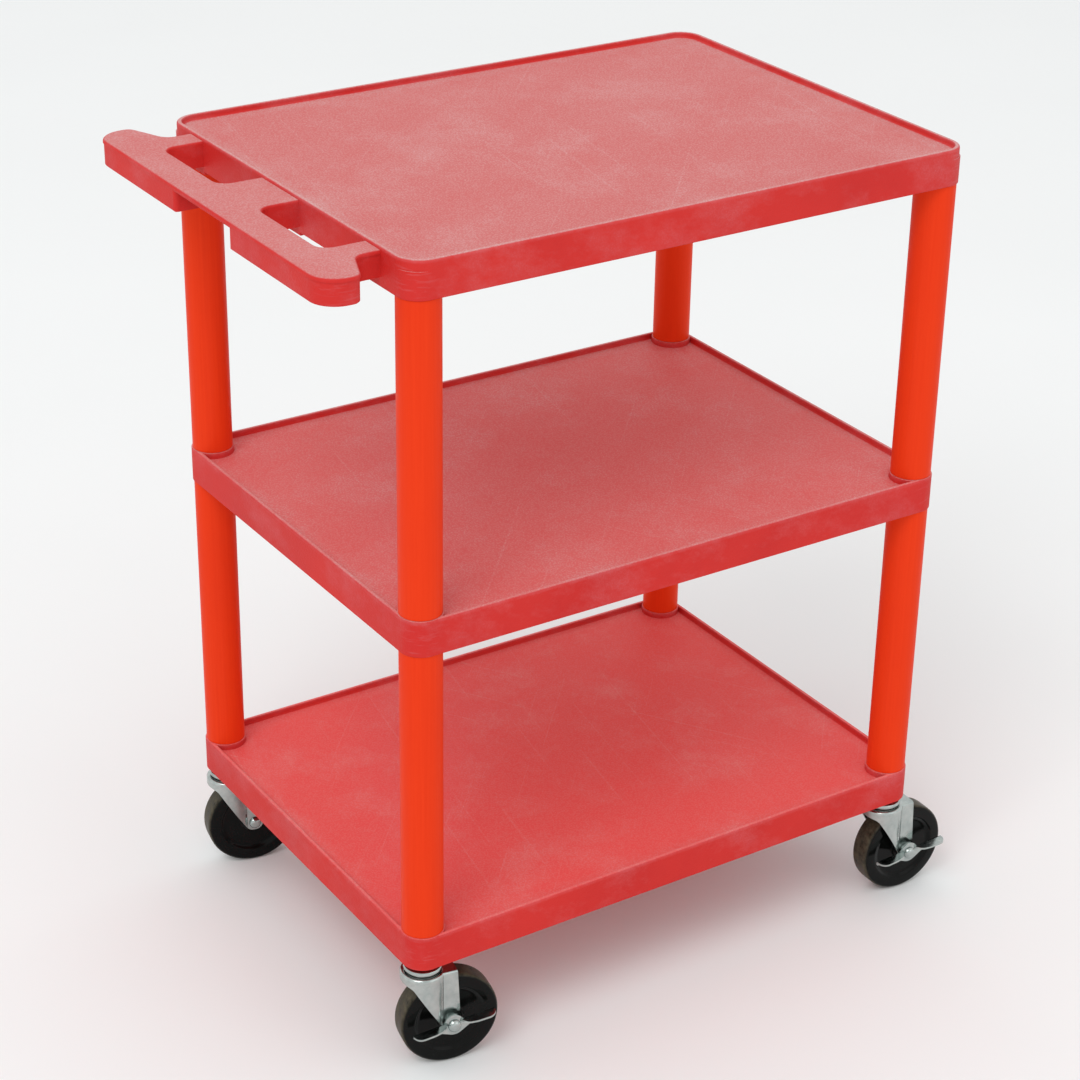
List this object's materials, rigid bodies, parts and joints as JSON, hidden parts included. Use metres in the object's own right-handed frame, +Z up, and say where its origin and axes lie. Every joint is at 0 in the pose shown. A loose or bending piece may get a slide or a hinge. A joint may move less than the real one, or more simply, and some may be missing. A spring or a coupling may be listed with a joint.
{
  "type": "book cart",
  "caption": "Moulded plastic shelf cart with raised-rim shelves, tube legs, a moulded push handle with hand slots, and swivel casters with side brakes.",
  "frame": {"origin": "centre of the whole cart's box, on the floor", "axes": "+Z up, +X along the shelves away from the push handle, +Y to the left when pushing"},
  "size_m": [0.7419, 0.4807, 0.838],
  "materials": {
    "shelf_plastic": "pebbled matt structural foam, slightly dusty",
    "leg_plastic": "smooth satin extruded tube",
    "zinc_steel": "bright zinc plate",
    "wheel_rubber": "hard black rubber, polished sides and a dusty tread",
    "bearing_steel": "plain bearing steel",
    "socket_plastic": "black nylon"
  },
  "bodies": {
    "cart": {"bottom_shelf": "shelf_plastic", "middle_shelf": "shelf_plastic", "top_shelf": "shelf_plastic", "handle_right_lower_leg": "leg_plastic", "handle_right_upper_leg": "leg_plastic", "front_right_lower_leg": "leg_plastic", "front_right_upper_leg": "leg_plastic", "handle_left_lower_leg": "leg_plastic", "handle_left_upper_leg": "leg_plastic", "front_left_lower_leg": "leg_plastic", "front_left_upper_leg": "leg_plastic", "handle_right_stem_socket": "socket_plastic", "handle_right_caster_stem": "zinc_steel", "front_right_stem_socket": "socket_plastic", "front_right_caster_stem": "zinc_steel", "handle_left_stem_socket": "socket_plastic", "handle_left_caster_stem": "zinc_steel", "front_left_stem_socket": "socket_plastic", "front_left_caster_stem": "zinc_steel"},
    "handle_right_swivel_body": {"handle_right_ball_race": "bearing_steel", "handle_right_fork": "zinc_steel", "handle_right_wheel_bush": "bearing_steel", "handle_right_axle_bolt": "zinc_steel", "handle_right_axle_nut": "zinc_steel", "handle_right_brake_cam": "zinc_steel"},
    "handle_right_wheel_body": {"handle_right_wheel": "wheel_rubber"},
    "handle_right_lever_body": {"handle_right_brake_lever": "zinc_steel"},
    "front_right_swivel_body": {"front_right_ball_race": "bearing_steel", "front_right_fork": "zinc_steel", "front_right_wheel_bush": "bearing_steel", "front_right_axle_bolt": "zinc_steel", "front_right_axle_nut": "zinc_steel", "front_right_brake_cam": "zinc_steel"},
    "front_right_wheel_body": {"front_right_wheel": "wheel_rubber"},
    "front_right_lever_body": {"front_right_brake_lever": "zinc_steel"},
    "handle_left_swivel_body": {"handle_left_ball_race": "bearing_steel", "handle_left_fork": "zinc_steel", "handle_left_wheel_bush": "bearing_steel", "handle_left_axle_bolt": "zinc_steel", "handle_left_axle_nut": "zinc_steel"},
    "handle_left_wheel_body": {"handle_left_wheel": "wheel_rubber"},
    "front_left_swivel_body": {"front_left_ball_race": "bearing_steel", "front_left_fork": "zinc_steel", "front_left_wheel_bush": "bearing_steel", "front_left_axle_bolt": "zinc_steel", "front_left_axle_nut": "zinc_steel"},
    "front_left_wheel_body": {"front_left_wheel": "wheel_rubber"}
  },
  "joints": [
    {"name": "handle_right_swivel", "type": "hinge", "parent": "cart", "child": "handle_right_swivel_body", "pos_m": [-0.2704, -0.1967, 0.11], "axis": [0, 0, 1], "continuous": true},
    {"name": "handle_right_wheel_spin", "type": "hinge", "parent": "handle_right_swivel_body", "child": "handle_right_wheel_body", "pos_m": [-0.24682, -0.20116, 0.05], "axis": [0.1857, 0.9826, 0], "continuous": true},
    {"name": "handle_right_brake", "type": "hinge", "parent": "handle_right_swivel_body", "child": "handle_right_lever_body", "pos_m": [-0.24682, -0.20116, 0.05], "axis": [0.1857, 0.9826, 0], "range_deg": [0, 16]},
    {"name": "front_right_swivel", "type": "hinge", "parent": "cart", "child": "front_right_swivel_body", "pos_m": [0.2964, -0.1967, 0.11], "axis": [0, 0, 1], "continuous": true},
    {"name": "front_right_wheel_spin", "type": "hinge", "parent": "front_right_swivel_body", "child": "front_right_wheel_body", "pos_m": [0.32038, -0.19766, 0.05], "axis": [0.0401, 0.9992, 0], "continuous": true},
    {"name": "front_right_brake", "type": "hinge", "parent": "front_right_swivel_body", "child": "front_right_lever_body", "pos_m": [0.32038, -0.19766, 0.05], "axis": [0.0401, 0.9992, 0], "range_deg": [-3, 13]},
    {"name": "handle_left_swivel", "type": "hinge", "parent": "cart", "child": "handle_left_swivel_body", "pos_m": [-0.2704, 0.2171, 0.11], "axis": [0, 0, 1], "continuous": true},
    {"name": "handle_left_wheel_spin", "type": "hinge", "parent": "handle_left_swivel_body", "child": "handle_left_wheel_body", "pos_m": [-0.24681, 0.21269, 0.05], "axis": [0.184, 0.9829, 0], "continuous": true},
    {"name": "front_left_swivel", "type": "hinge", "parent": "cart", "child": "front_left_swivel_body", "pos_m": [0.2964, 0.2171, 0.11], "axis": [0, 0, 1], "continuous": true},
    {"name": "front_left_wheel_spin", "type": "hinge", "parent": "front_left_swivel_body", "child": "front_left_wheel_body", "pos_m": [0.32027, 0.21459, 0.05], "axis": [0.1045, 0.9945, 0], "continuous": true}
  ]
}
